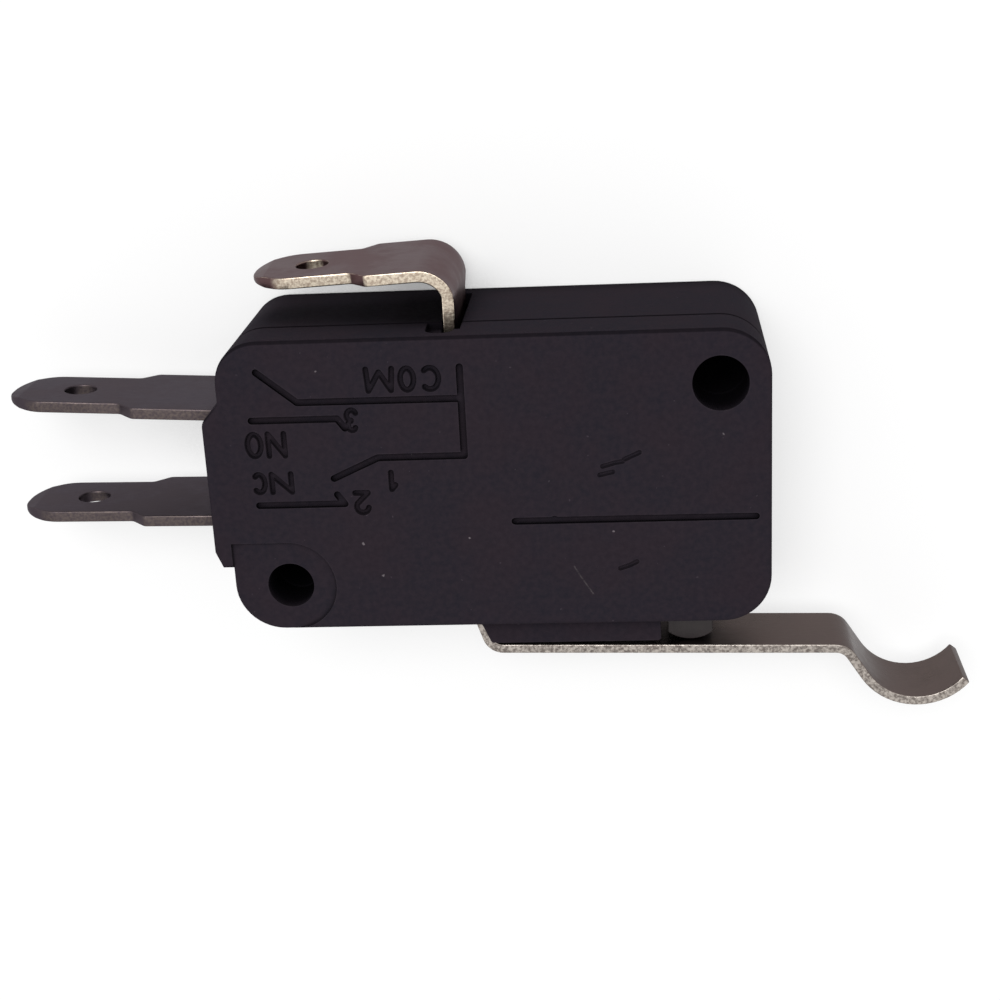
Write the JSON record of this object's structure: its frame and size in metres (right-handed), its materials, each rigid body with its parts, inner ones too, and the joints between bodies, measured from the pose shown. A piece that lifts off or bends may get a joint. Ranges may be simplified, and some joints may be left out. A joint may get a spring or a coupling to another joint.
{
  "type": "micro switch",
  "caption": "Black moulded snap-action micro switch with a bent-tip steel lever, push-on tabs and its working changeover mechanism",
  "frame": {"origin": "on the axis of mounting hole 1, at the back mounting face", "axes": "+X towards the two end tabs, +Y towards the lever, +Z out of the front face along the mounting holes"},
  "size_m": [0.0506, 0.0251, 0.0103],
  "materials": {
    "moulding": "black thermoset moulding, fine grain, slightly dusty",
    "button": "dark grey-brown moulded plastic",
    "lever_steel": "satin rolled steel with bright cut edges",
    "tinned_brass": "dull tinned brass with tan cut edges",
    "silver": "silver contact rivet",
    "spring_copper": "rolled spring copper alloy",
    "spring_steel": "drawn spring wire"
  },
  "bodies": {
    "housing": {"case": "moulding", "cover": "moulding", "common_terminal": "tinned_brass", "normally_open_terminal": "tinned_brass", "normally_closed_terminal": "tinned_brass", "normally_open_contact": "silver", "normally_closed_contact": "silver"},
    "lever_arm": {"lever": "lever_steel"},
    "button": {"plunger": "button"},
    "rocker_plate": {"rocker": "lever_steel"},
    "switch_blade": {"contact_arm": "spring_copper", "moving_contact": "silver", "snap_spring": "spring_steel"}
  },
  "joints": [
    {"name": "lever_hinge", "type": "hinge", "parent": "housing", "child": "lever_arm", "pos_m": [0.0135, 0.01185, 0.0047], "axis": [0, 0, 1], "range_deg": [0, 6.2], "stiffness_Nm_per_rad": 0.05, "springref_deg": -5.73},
    {"name": "plunger_slide", "type": "slide", "parent": "housing", "child": "button", "axis": [0, -1, 0], "range_m": [0, 0.00133]},
    {"name": "rocker_hinge", "type": "hinge", "parent": "housing", "child": "rocker_plate", "pos_m": [0.0105, 0.00833, 0.0047], "axis": [0, 0, 1], "range_deg": [0, 8.61]},
    {"name": "arm_hinge", "type": "hinge", "parent": "housing", "child": "switch_blade", "pos_m": [0.0066, 0.0046, 0.0047], "axis": [0, 0, 1], "range_deg": [-4, 0], "deforming": ["snap_spring"]}
  ],
  "couplings": [
    {"joint": "plunger_slide", "follows": "lever_hinge", "m_per_rad": 0.01192},
    {"joint": "rocker_hinge", "follows": "lever_hinge", "ratio": 1.3476},
    {"joint": "arm_hinge", "follows": "lever_hinge", "ratio": -0.62591}
  ]
}
